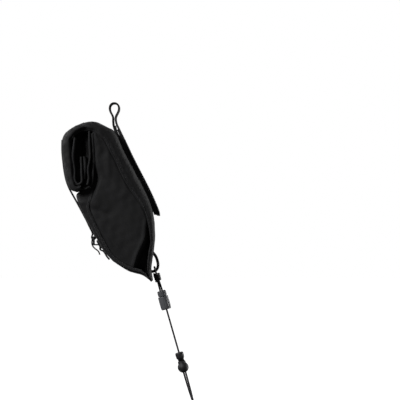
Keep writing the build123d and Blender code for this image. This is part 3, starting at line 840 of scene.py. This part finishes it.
# Lines of the roll's layers in the middle plane, x and z in mm.
ROLL_FOLD = [
    (-39.6, -31.6), (-40.6, -38.0), (-41.3, -48.0), (-41.2, -60.0), (-40.6, -70.0), (-39.4, -76.6),
    (-36.4, -79.4), (-33.2, -77.6), (-32.4, -72.0), (-33.2, -62.0), (-34.0, -51.0),
]
ROLL_BACK = [
    (-25.0, -24.8), (-24.6, -40.0), (-25.2, -55.0), (-26.2, -66.0), (-26.0, -74.0), (-27.2, -79.6),
]
LID_UNDER = [
    (-10.0, -24.4), (-15.0, -24.8), (-23.0, -24.6), (-31.0, -23.6), (-38.0, -26.4), (-43.4, -30.6),
]
TUCK_OUTER = [
    (-30.0, -18.0), (-44.0, -25.0), (-50.5, -33.0), (-51.3, -45.0), (-49.8, -58.0), (-47.4, -70.0),
    (-43.4, -80.5), (-36.0, -84.4),
]
TUCK_INNER = [
    (-12.0, -21.6), (-18.0, -24.0), (-21.4, -32.0), (-21.0, -45.0), (-20.6, -58.0), (-20.8, -70.0),
    (-23.4, -80.5), (-31.0, -84.6),
]
MOUTH_HEM = [(-30.4, -51.0), (-29.4, -56.0), (-29.0, -62.0), (-29.4, -68.0), (-30.6, -74.0)]


class SADDLEBAG_OT_roll(bpy.types.Operator):
    """Builds the inner layers of the roll, the mouth's hem and the sides tucked in between

    A tucked side is a grid between two lines, set in from the roll's end by a parabola and a
    cosine, which gives three and a half pleats.
    """

    bl_idname = "saddle_bag.roll"
    bl_label = "Roll"

    def execute(self, context):
        half = ROLL_HALF - 1.6 * MM
        outer, inner = smooth_line(TUCK_OUTER, 60), smooth_line(TUCK_INNER, 60)
        v = np.linspace(0, 1, 48)[None, :]
        hollow = 16 + 50 * smoothstep(outer[:, 1:2], -66 * MM, -40 * MM)
        pleats = 1.4 * np.cos(2 * math.pi * 3.5 * v) * np.sqrt(np.linspace(1, 0, len(outer)))[:, None]
        depth = (5 + hollow * v * (1 - v) + pleats) * MM
        for side, name in SIDES:
            x = outer[:, :1] * (1 - v) + inner[:, :1] * v
            z = outer[:, 1:2] * (1 - v) + inner[:, 1:2] * v
            tuck = np.stack([x, side * (half - depth) + 0 * x, z], -1)
            tuck[..., 1] += side * 0.8 * MM * soft_noise(tuck, 14 * MM, 51 + side)
            piece = mesh_piece(f"mouth_tuck_{name}", tuck, outward=(-0.035, 0, -0.05))
            body = ("pouch", "roll", (-22 * MM, 0, -50 * MM), (-38 * MM, 0, -50 * MM))
            finish_piece(piece, body, (), nylon(), 0.8 * MM)
        layer("roll_second_turn", ROLL_FOLD, half, 2.3 * MM, "roll", ("roll_fold",), "bag_fabric", nylon(),
              0.7 * MM, 41)
        layer("roll_inner_ply", ROLL_BACK, half - 0.4 * MM, 2.3 * MM, "roll", ("roll_back_ply",),
              "bag_fabric", nylon(), 0.5 * MM, 43)
        layer("lid_facing", LID_UNDER, half - 4.5 * MM, 2.0 * MM, "roll", (), "bag_fabric", nylon(),
              0.3 * MM, 45)
        layer("mouth_hem_cloth", MOUTH_HEM, half - 2.0 * MM, 3.0 * MM, "roll", ("mouth_hem", "hem_strip"),
              "bag_fabric", nylon(), 0.5 * MM, 47)
        return {"FINISHED"}


# ---------------------------------------------------------------- straps
# Lines of the straps in the middle plane, x and z in mm. The hook-and-loop, the flap and the
# sewn run are all offset from STRAP_LINE, the front strip's outer face below the strap.
STRAP_LINE = [(5.0, -35.0), (13.0, -52.0), (22.0, -69.7), (30.0, -85.3), (36.0, -98.2), (39.6, -106.8)]
EYE_RUN = [
    (2.0, -26.6), (-0.5, -20.0), (-1.3, -13.5), (-1.5, -9.6), (-2.9, -6.4), (-4.45, -3.0), (-4.72, 0.4),
    (-3.4, 3.4), (0.0, 4.8), (3.4, 3.4), (4.72, 0.4), (4.45, -3.0), (2.9, -6.4), (1.5, -9.6), (1.35, -12.6),
]
FLAP_HEAD = [(1.35, -12.4), (1.9, -15.6), (3.9, -20.4), (6.6, -26.0)]
FLAP_END = [(46.1, -109.2), (46.4, -112.2)]
PILE_END = [(44.7, -109.4), (45.0, -112.0)]
PILE_FOOT = [(43.4, -109.8), (43.5, -111.4)]
SEWN_END = [(41.9, -109.9), (42.0, -111.0)]
CLOSURE_RUN = [
    (-54.3, -33.4), (-54.4, -45.0), (-53.4, -56.0), (-51.6, -69.0), (-48.2, -81.0), (-42.0, -93.0),
    (-35.4, -105.0), (-28.6, -118.0), (-24.4, -126.6), (-22.9, -131.6), (-23.6, -134.6), (-21.8, -136.7),
    (-19.7, -135.2), (-20.4, -132.6), (-21.8, -129.6),
]
CLOSURE_TOP = offset_rows(FRONT_STRIP[17:22], -0.9)[::-1]
TAIL_RUN = [(-23.2, -136.4), (-23.3, -142.0), (-20.3, -146.2), (-16.7, -149.2), (-15.3, -152.6)]
ANCHOR_RUN = [
    (-12.2, -143.6), (-15.0, -144.9), (-14.6, -147.3), (-12.2, -148.6), (-8.9, -152.9), (-5.2, -157.6),
]
TAB_RUN = [(39.9, -150.4), (42.8, -154.2), (44.8, -159.6), (45.2, -164.4), (43.2, -168.6), (38.6, -170.2)]


class SADDLEBAG_OT_straps(bpy.types.Operator):
    """Builds the mounting strap, its hook-and-loop, the closure strap, the anchor and the tab"""

    bl_idname = "saddle_bag.straps"
    bl_label = "Straps"

    def sew(self, strap_half, closure_half):
        """Rows of stitches along the flap's edges, and along the closure strap's sewn end."""
        for name, rows, half, lift, body in (
            ("flap", offset_rows(STRAP_LINE, 6.28), strap_half, 1, "flap"),
            ("closure", offset_rows(FRONT_STRIP[18:21], -1.5), closure_half, -1, "roll"),
        ):
            line = smooth_line(rows, 120)
            out = sideways(line) * lift
            normal = np.stack([out[:, 0], 0 * out[:, 0], out[:, 1]], 1)
            for side, side_name in SIDES:
                path = np.stack([line[:, 0], side * (half - 2.2 * MM) + 0 * line[:, 0], line[:, 1]], 1)
                stitches(f"{name}_stitches_{side_name}", path, normal, body)

    def execute(self, context):
        s = settings()
        strap_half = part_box("mount_flap")[1][1]
        sewn = SEWN_END[::-1] + offset_rows(STRAP_LINE, 1.05)[::-1]
        layer("mounting_strap", sewn + EYE_RUN, strap_half, 1.9 * MM, "pouch", ("mount_strap_base",),
              "webbing", webbing(), count=220)
        flap_body = ("pouch", "flap", (1.9 * MM, 0, -15.0 * MM), (5.6 * MM, 0, -23.6 * MM))
        flap = FLAP_HEAD + offset_rows(STRAP_LINE, 5.4) + FLAP_END
        layer("strap_flap", flap, strap_half, 1.9 * MM, flap_body, ("mount_flap",), "webbing", webbing(),
              count=160)
        pile = brushed_pile("loop pile", linear("#1a1a1b"), 0.5 * MM)
        soft = [(0.9, -18.6), (1.7, -22.6)] + offset_rows(STRAP_LINE, 2.65) + PILE_FOOT
        layer("soft_pile", soft, strap_half - 0.7 * MM, 1.4 * MM, "pouch", ("loop_pile",), "loop_pile", pile)
        stubs = brushed_pile("hook pile", linear("#161617"), 0.9 * MM)
        hooks = [(3.4, -22.6)] + offset_rows(STRAP_LINE, 3.85) + PILE_END
        layer("hooked_pile", hooks, strap_half - 0.7 * MM, 1.4 * MM, "flap", ("hook_pile",), "hook_pile",
              stubs)
        closure_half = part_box("closure_strap")[1][1]
        thin = ribbed_webbing("thin webbing", tuple(s.webbing), 0.9 * MM)
        layer("closure_run", CLOSURE_RUN, closure_half, 1.3 * MM, "closure", ("closure_strap",),
              "closure_webbing", thin, count=220)
        layer("closure_end", CLOSURE_TOP, closure_half, 1.3 * MM, "roll", ("closure_root",),
              "closure_webbing", thin)
        self.sew(strap_half, closure_half)
        layer("loose_tail", TAIL_RUN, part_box("strap_tail")[1][1], 0.9 * MM, "hook", ("strap_tail",),
              "closure_webbing", thin)
        layer("anchor_fold", ANCHOR_RUN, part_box("anchor_webbing")[1][1], 1.3 * MM, "pouch",
              ("anchor_webbing",), "webbing", webbing())
        layer("tab", TAB_RUN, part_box("tab_loop")[1][1], 2.9 * MM, "pouch", ("tab_loop",), "webbing",
              webbing())
        return {"FINISHED"}


# ---------------------------------------------------------------- tether
# Control points of the cords: x behind, y beside and distance down the tether, in mm.
UPPER_ROUTE = [
    (1.05, 0.3, 26.6), (1.05, 0.3, 19.0), (0.4, 1.25, 8.9), (0, 5.5, 4.6), (0, 5.5, 0.8), (0, 3.8, -1.0),
    (0, -3.8, -1.0), (0, -5.5, 0.8), (0, -5.5, 4.6), (-0.2, -1.25, 8.9), (-1.05, -0.3, 19.0),
    (-1.05, -0.3, 26.6),
]
MIDDLE_ROUTE = [(0, 0, 38.7), (0, 0, 62.0), (0, 0, 85.0), (0, 0, 107.4)]
LOWER_ROUTE = [
    (1.05, 0.3, 107.4), (1.1, 0.5, 125.4), (0.3, 2.8, 145.5), (0, 2.8, 151.3), (0, -2.8, 151.3),
    (-0.3, -2.8, 145.5), (-1.1, -0.5, 125.4), (-1.05, -0.3, 107.4),
]
# Turned profiles of the locks: radius, distance down the tether and depth of the flutes, in mm.
BARREL_CAP = [
    (2.4, 24.6, 0), (3.7, 24.6, 0), (4.3, 24.9, 0.1), (4.6, 25.7, 0.3), (4.7, 27.0, 0.4), (4.7, 29.0, 0.4),
    (4.6, 30.1, 0.2), (4.3, 30.6, 0), (3.2, 30.6, 0), (3.2, 36.6, 0), (2.35, 36.6, 0), (2.35, 25.2, 0),
]
BARREL_BODY = [
    (4.85, 31.0, 0), (5.1, 30.9, 0), (5.3, 31.2, 0), (5.35, 32.0, 0), (5.3, 32.8, 0), (5.35, 33.6, 0.1),
    (5.45, 35.0, 0.4), (5.5, 38.0, 0.45), (5.5, 41.5, 0.45), (5.4, 43.2, 0.3), (5.1, 44.2, 0.1),
    (4.5, 44.7, 0), (2.5, 44.7, 0), (2.35, 44.4, 0), (2.35, 40.5, 0), (3.4, 40.4, 0), (3.4, 32.5, 0),
    (4.8, 32.4, 0),
]
BALL_BUTTON = [
    (2.4, 91.2, 0), (3.3, 91.2, 0), (4.0, 91.6, 0), (4.4, 92.5, 0.1), (4.45, 94.0, 0.3), (4.4, 96.0, 0.3),
    (4.1, 97.4, 0.1), (3.6, 98.0, 0), (3.2, 98.1, 0), (3.2, 105.8, 0), (2.35, 105.8, 0), (2.35, 91.8, 0),
]
BALL_MIDDLE, BALL_RADIUS = 107.4, 5.7
CORD_DIAMETER = 2 * MM
KNOT_TURNS, KNOT_RADIUS = 4.3, 2.45
SPRING_TURNS, SPRING_RADIUS = 6, 2.775


def route_line(name, points):
    """The smooth line of a cord's route: a NURBS spline with the points as its control points."""
    data = bpy.data.curves.new(name, "CURVE")
    data.dimensions = "3D"
    spline = data.splines.new("NURBS")
    spline.points.add(len(points) - 1)
    for control, point in zip(spline.points, points):
        control.co = (*point, 1)
    spline.order_u = 3
    spline.use_endpoint_u = True
    spline.resolution_u = 24
    carrier = add_object(name, data)
    bpy.context.view_layer.update()
    mesh = bpy.data.meshes.new_from_object(carrier)
    line = np.zeros(len(mesh.vertices) * 3)
    mesh.vertices.foreach_get("co", line)
    bpy.data.objects.remove(carrier)
    bpy.data.meshes.remove(mesh)
    return line.reshape(-1, 3)


def cord_grid(line, diameter, strands, across):
    """A braided tube round a line: its radius rises where two sets of helical strands cross,
    by the product of a left-handed and a right-handed sine. Also the crown height, 0 to 1.
    across is a direction that the line never runs along."""
    run = run_along(line)
    at = np.linspace(0, run[-1], int(run[-1] / (0.22 * MM)))
    centre = values_at(at, run, line)
    along = unit(np.gradient(centre, axis=0))
    side = unit(np.cross(along, across))
    up = np.cross(side, along)
    turn = circle(28)[None, :]
    lead = 2 * math.pi * at[:, None] / (5.2 * diameter)
    crown = np.sin(strands / 2 * (turn + lead)) * np.sin(strands / 2 * (turn - lead))
    radius = diameter / 2 * (0.96 + 0.05 * crown)
    grid = centre[:, None] + side[:, None] * (radius * np.cos(turn))[..., None]
    return grid + up[:, None] * (radius * np.sin(turn))[..., None], 0.5 + 0.5 * crown


def cord_piece(name, route, nodes, with_pieces):
    """One free cord of the tether: a braided tube along its route."""
    line = route_line(name, tether_point(*np.array(route, float).T))
    grid, crown = cord_grid(line, CORD_DIAMETER, settings().cord_strands, TETHER_ACROSS)
    piece = mesh_piece(name, grid, ring=True, caps=True, edge=crown)
    finish_piece(piece, "tether", nodes, braided_cord("braided cord", tuple(settings().cord)))


def hitch_wraps():
    """The knot's wraps: a helix round the doubled cord, its radius swelling by two slow sines."""
    t = np.linspace(0, 1, 400)
    turn = 2 * math.pi * KNOT_TURNS * t
    radius = KNOT_RADIUS + 0.25 * np.sin(math.pi * t) + 0.1 * np.sin(7 * t)
    down = 5.9 + 8.4 * t + 0.3 * np.sin(turn)
    line = tether_point(radius * np.cos(turn), radius * np.sin(turn), down)
    grid, crown = cord_grid(line, 2.1 * MM, settings().cord_strands, TETHER_ALONG)
    piece = mesh_piece("hitch_wraps", grid, ring=True, caps=True, edge=crown)
    cord = braided_cord("braided cord", tuple(settings().cord))
    return finish_piece(piece, "tether", ("hitch_knot",), cord)


def lock_spring(name, node, body, start, end):
    """A compression spring round the cord: a helix of SPRING_TURNS between two distances down the tether,
    closed at both ends by a sine."""
    t = np.linspace(0, 1, 500)
    turn = 2 * math.pi * SPRING_TURNS * t
    climb = t - np.sin(2 * math.pi * t) / (2 * math.pi)
    x, y = SPRING_RADIUS * np.cos(turn), SPRING_RADIUS * np.sin(turn)
    line = tether_point(x, y, start + (end - start) * climb)
    grid, _ = cord_grid(line, 0.5 * MM, 0, TETHER_ALONG)
    coil = mesh_piece(name, grid, ring=True, caps=True)
    wire = coated_wire("spring wire", linear("#b9babb"), 0.3, 1.0)
    finish_piece(coil, body, (node,), wire)
    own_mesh(coil)


class SADDLEBAG_OT_tether(bpy.types.Operator):
    """Builds the tether's cords, its knot and its two locks"""

    bl_idname = "saddle_bag.tether"
    bl_label = "Tether"

    def execute(self, context):
        s = settings()
        barrel = moulded_acetal("barrel lock acetal", tuple(s.lock), 0.38)
        ball = moulded_acetal("ball lock acetal", tuple(s.ball), 0.55)
        fall = np.linspace(math.radians(50), math.radians(154), 22)
        sphere_down = BALL_MIDDLE - BALL_RADIUS * np.cos(fall)
        sphere = np.stack([BALL_RADIUS * np.sin(fall), sphere_down, 0 * fall], 1)
        neck = [(3.45, 100.7, 0), (3.9, 100.8, 0), (4.0, 101.4, 0), (4.05, 103.0, 0)]
        bore = [(2.35, 112.2, 0), (2.35, 111.1, 0), (3.4, 111.0, 0), (3.4, 101.0, 0)]
        for name, node, profile, flutes, material, slot_name in (
            ("barrel_lock_cap", "barrel_cap", BARREL_CAP, 16, barrel, "lock_plastic"),
            ("barrel_lock_body", "barrel_body", BARREL_BODY, 16, barrel, "lock_plastic"),
            ("ball_lock_button", "ball_button", BALL_BUTTON, 12, ball, "ball_plastic"),
            ("ball_lock_body", "ball_body", neck + sphere.tolist() + bore, 0, ball, "ball_plastic"),
        ):
            turned = mesh_piece(name, lathe_grid(profile, flutes), ring=True, loop=True)
            body = {"ball_body": "ball_lock", "barrel_body": "barrel"}.get(node, node)
            finish_piece(turned, body, (node,), material)
        lock_spring("barrel_coil", "barrel_spring", "barrel", 36.95, 40.05)
        lock_spring("ball_coil", "ball_spring", "ball_lock", 106.15, 110.65)
        give_material("end_hook", coated_wire("coated hook wire", linear("#2b2c2e"), 0.4, 0.0))
        cord_piece("doubled_cord_upper", UPPER_ROUTE, ("upper_cord",), [hitch_wraps()])
        cord_piece("single_cord", MIDDLE_ROUTE, ("tether_cord",), [])
        hook = frame["nodes"]["end_hook"]
        cord_piece("doubled_cord_lower", LOWER_ROUTE, ("lower_cord",), [hook])
        return {"FINISHED"}


class SADDLEBAG_OT_hardware(bpy.types.Operator):
    """Gives the strap hook, the ring and the inner boards their materials"""

    bl_idname = "saddle_bag.hardware"
    bl_label = "Hook, ring and boards"

    def execute(self, context):
        black = coated_wire("black coated steel", linear("#242527"), 0.38, 0.0)
        for node in ("strap_hook", "anchor_ring"):
            give_material(node, black)
        give_material("back_board", moulded_acetal("board plastic", linear("#3b3c3e"), 0.5))
        return {"FINISHED"}


# ---------------------------------------------------------------- stage
@made_once
def studio_white(tree, shader, colour):
    """Seamless studio paper, evenly lit: plain, matt and nearly white."""
    white = (*colour, 1)
    set_inputs(shader, {"Base Color": white, "Roughness": 0.9, "Emission Color": white,
                        "Emission Strength": 1.0})


LIT_PLACE = Vector((0.02, 0, -0.1))


def soft_light(name, place, size, power):
    """A rectangular lamp of a width and a height in metres, turned to the bag's middle."""
    data = bpy.data.lights.new(name, "AREA")
    data.shape = "RECTANGLE"
    data.size, data.size_y = size
    data.energy = power
    light = bpy.data.objects.new(name, data)
    light.location = place
    light.visible_camera = False
    light.rotation_mode = "QUATERNION"
    light.rotation_quaternion = (LIT_PLACE - Vector(place)).to_track_quat("-Z", "Y")
    bpy.context.collection.objects.link(light)


class SADDLEBAG_OT_stage(bpy.types.Operator):
    """Builds the floor, the surrounding light, the lamps and the camera"""

    bl_idname = "saddle_bag.stage"
    bl_label = "Stage"

    def execute(self, context):
        floor_z, half = CAD_LOW[2] - 0.12, 12.0
        x, y = np.meshgrid(np.linspace(-half, half, 5), np.linspace(-half, half, 5))
        grid = np.stack([x, y, 0 * x + floor_z], -1)
        paper = mesh_piece("studio_floor", grid, outward=(0, 0, -3))
        paper.data.materials.append(studio_white("studio paper", tuple(settings().floor)))
        paper.visible_diffuse = False
        paper.visible_glossy = False
        soft_light("key", (-1.5, -1.6, 1.0), (0.9, 0.9), 45)
        soft_light("rim_left", (-1.6, 1.0, 1.3), (0.9, 1.6), 30)
        soft_light("rim_right", (1.6, 0.7, -0.1), (0.9, 1.2), 24)
        world = bpy.data.worlds.new("studio")
        world.use_nodes = True
        ambient, seen = 0.07, 1.0
        ray = add_node(world.node_tree, "ShaderNodeLightPath")
        level = map_range(world.node_tree, ray.outputs["Is Camera Ray"], ambient, seen)
        background = world.node_tree.nodes["Background"]
        background.inputs[0].default_value = (1, 1, 1, 1)
        world.node_tree.links.new(level, background.inputs[1])
        context.scene.world = world
        context.scene.view_settings.view_transform = "Standard"
        data = bpy.data.cameras.new("camera")
        data.sensor_width, data.lens = 36, 300
        width = 0.416
        distance = width * data.lens / data.sensor_width
        camera = bpy.data.objects.new("camera", data)
        camera.location = (88.9 * MM, -distance, -95.7 * MM)
        camera.rotation_euler = (math.pi / 2, 0, 0)
        data.clip_end = 50
        bpy.context.collection.objects.link(camera)
        context.scene.camera = camera
        return {"FINISHED"}


# ---------------------------------------------------------------- add-on
class SADDLEBAG_PT_panel(bpy.types.Panel):
    """Lists the pieces of the saddle bag"""

    bl_idname = "SADDLEBAG_PT_panel"
    bl_label = "Saddle Bag"
    bl_space_type = "VIEW_3D"
    bl_region_type = "UI"
    bl_category = "Saddle Bag"

    def draw(self, context):
        for name in SADDLEBAG_PG_settings.__annotations__:
            self.layout.prop(context.scene.saddle_bag, name)
        for operator in OPERATORS:
            self.layout.operator(operator.bl_idname)


OPERATORS = (
    SADDLEBAG_OT_stage,
    SADDLEBAG_OT_tether,
    SADDLEBAG_OT_front_strip,
    SADDLEBAG_OT_rear_strip,
    SADDLEBAG_OT_sides,
    SADDLEBAG_OT_seams,
    SADDLEBAG_OT_roll,
    SADDLEBAG_OT_straps,
    SADDLEBAG_OT_hardware,
)
CLASSES = (SADDLEBAG_PG_settings, *OPERATORS, SADDLEBAG_PT_panel)


def register():
    for c in CLASSES:
        bpy.utils.register_class(c)
    bpy.types.Scene.saddle_bag = PointerProperty(type=SADDLEBAG_PG_settings)


def unregister():
    del bpy.types.Scene.saddle_bag
    for c in reversed(CLASSES):
        bpy.utils.unregister_class(c)


def main():
    register()
    for operator in OPERATORS:
        group, name = operator.bl_idname.split(".")
        getattr(getattr(bpy.ops, group), name)()


if __name__ == "__main__":
    main()
